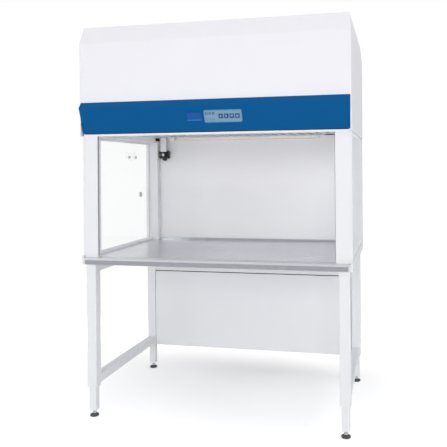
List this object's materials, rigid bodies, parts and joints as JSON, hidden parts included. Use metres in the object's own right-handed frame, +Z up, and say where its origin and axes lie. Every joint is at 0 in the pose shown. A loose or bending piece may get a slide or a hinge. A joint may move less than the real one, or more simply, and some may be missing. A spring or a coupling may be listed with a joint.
{
  "type": "laminar flow hood",
  "caption": "Open-fronted laminar flow hood with glass sides, stainless work tray and a sloping control fascia, on a stand with sliding legs and levelling feet.",
  "frame": {"origin": "on the floor, at the middle of the footprint's bounding box", "axes": "+Z up, the open front faces -Y, +X to the right of someone who faces the rear wall from the front"},
  "size_m": [1.34, 0.892, 1.945],
  "materials": {
    "white_powder_coat": "satin powder coat",
    "stainless_steel": "brushed",
    "zinc_plated_steel": "zinc plated",
    "aluminium": "mill finish",
    "black_rubber": "matte",
    "glass": "clear tempered",
    "blue_coat": "satin powder coat",
    "display_film": "gloss",
    "keypad_film": "satin film",
    "key_film": "satin film",
    "lens": "clear lens",
    "dark_housing": "satin",
    "filter_paper": "pleated glass fibre paper",
    "lamp_glass": "opal glass",
    "black_plastic": "moulded",
    "white_plastic": "moulded",
    "grey_rubber": "matte"
  },
  "bodies": {
    "bench": {"left_stand_frame": "white_powder_coat", "right_stand_frame": "white_powder_coat", "rear_cross_rail": "white_powder_coat", "stand_rear_panel": "white_powder_coat", "stand_bolts": "zinc_plated_steel", "base_pan": "white_powder_coat", "work_tray": "stainless_steel", "front_left_post": "white_powder_coat", "front_right_post": "white_powder_coat", "rear_left_post": "white_powder_coat", "rear_right_post": "white_powder_coat", "left_glass": "glass", "right_glass": "glass", "glazing_beads": "white_powder_coat", "rubber_seals": "black_rubber", "glass_plugs": "grey_rubber", "inner_back_wall": "white_powder_coat", "lower_rear_panel": "white_powder_coat", "ceiling_frame": "white_powder_coat", "hood_front_cover": "white_powder_coat", "hood_left_side": "white_powder_coat", "hood_right_side": "white_powder_coat", "hood_roof": "white_powder_coat", "hood_rear_panel": "white_powder_coat", "control_fascia": "blue_coat", "display_window": "display_film", "keypad_plate": "keypad_film", "indicator_lights": "lens", "controller_box": "dark_housing", "ceiling_grille": "white_powder_coat", "filter_frame": "aluminium", "filter_pleats": "filter_paper", "pressure_box": "zinc_plated_steel", "blower_housing": "zinc_plated_steel", "blower_motor": "dark_housing", "pre_filter": "filter_paper", "roof_grille": "aluminium", "uv_lamp": "lamp_glass", "work_lamp": "lamp_glass", "lamp_holders": "white_plastic", "hanging_post": "white_powder_coat", "clamp_hub": "black_plastic", "power_inlet": "black_plastic"},
    "front_left_leg": {"front_left_leg": "white_powder_coat"},
    "front_right_leg": {"front_right_leg": "white_powder_coat"},
    "rear_left_leg": {"rear_left_leg": "white_powder_coat"},
    "rear_right_leg": {"rear_right_leg": "white_powder_coat"},
    "front_left_foot": {"front_left_foot": "black_rubber"},
    "front_right_foot": {"front_right_foot": "black_rubber"},
    "rear_left_foot": {"rear_left_foot": "black_rubber"},
    "rear_right_foot": {"rear_right_foot": "black_rubber"},
    "fan_key": {"fan_key": "key_film"},
    "light_key": {"light_key": "key_film"},
    "uv_lamp_key": {"uv_lamp_key": "key_film"},
    "socket_key": {"socket_key": "key_film"},
    "down_key": {"down_key": "key_film"},
    "up_key": {"up_key": "key_film"},
    "menu_key": {"menu_key": "key_film"},
    "blower_wheel": {"blower_wheel": "zinc_plated_steel"},
    "clamp_knob": {"clamp_knob": "black_plastic"}
  },
  "joints": [
    {"name": "front_left_leg_slide", "type": "slide", "parent": "bench", "child": "front_left_leg", "axis": [0, 0, -1], "range_m": [-0.1, 0.15]},
    {"name": "front_right_leg_slide", "type": "slide", "parent": "bench", "child": "front_right_leg", "axis": [0, 0, -1], "range_m": [-0.1, 0.15]},
    {"name": "rear_left_leg_slide", "type": "slide", "parent": "bench", "child": "rear_left_leg", "axis": [0, 0, -1], "range_m": [-0.1, 0.15]},
    {"name": "rear_right_leg_slide", "type": "slide", "parent": "bench", "child": "rear_right_leg", "axis": [0, 0, -1], "range_m": [-0.1, 0.15]},
    {"name": "front_left_foot_thread", "type": "slide", "parent": "front_left_leg", "child": "front_left_foot", "axis": [0, 0, -1], "range_m": [-0.0095, 0.03]},
    {"name": "front_right_foot_thread", "type": "slide", "parent": "front_right_leg", "child": "front_right_foot", "axis": [0, 0, -1], "range_m": [-0.0095, 0.03]},
    {"name": "rear_left_foot_thread", "type": "slide", "parent": "rear_left_leg", "child": "rear_left_foot", "axis": [0, 0, -1], "range_m": [-0.0095, 0.03]},
    {"name": "rear_right_foot_thread", "type": "slide", "parent": "rear_right_leg", "child": "rear_right_foot", "axis": [0, 0, -1], "range_m": [-0.0095, 0.03]},
    {"name": "fan_key_press", "type": "slide", "parent": "bench", "child": "fan_key", "axis": [0, 0.9335, 0.3585], "range_m": [0, 0.0008], "stiffness_N_per_m": 1500, "springref_m": -0.0006},
    {"name": "light_key_press", "type": "slide", "parent": "bench", "child": "light_key", "axis": [0, 0.9335, 0.3585], "range_m": [0, 0.0008], "stiffness_N_per_m": 1500, "springref_m": -0.0006},
    {"name": "uv_lamp_key_press", "type": "slide", "parent": "bench", "child": "uv_lamp_key", "axis": [0, 0.9335, 0.3585], "range_m": [0, 0.0008], "stiffness_N_per_m": 1500, "springref_m": -0.0006},
    {"name": "socket_key_press", "type": "slide", "parent": "bench", "child": "socket_key", "axis": [0, 0.9335, 0.3585], "range_m": [0, 0.0008], "stiffness_N_per_m": 1500, "springref_m": -0.0006},
    {"name": "down_key_press", "type": "slide", "parent": "bench", "child": "down_key", "axis": [0, 0.9335, 0.3585], "range_m": [0, 0.0008], "stiffness_N_per_m": 1500, "springref_m": -0.0006},
    {"name": "up_key_press", "type": "slide", "parent": "bench", "child": "up_key", "axis": [0, 0.9335, 0.3585], "range_m": [0, 0.0008], "stiffness_N_per_m": 1500, "springref_m": -0.0006},
    {"name": "menu_key_press", "type": "slide", "parent": "bench", "child": "menu_key", "axis": [0, 0.9335, 0.3585], "range_m": [0, 0.0008], "stiffness_N_per_m": 1500, "springref_m": -0.0006},
    {"name": "blower_spin", "type": "hinge", "parent": "bench", "child": "blower_wheel", "pos_m": [0, 0.021, 1.75484], "axis": [1, 0, 0], "continuous": true},
    {"name": "clamp_knob_turn", "type": "hinge", "parent": "bench", "child": "clamp_knob", "pos_m": [-0.55, 0.386, 1.327], "axis": [0, 1, 0], "range_deg": [-360, 360]}
  ]
}
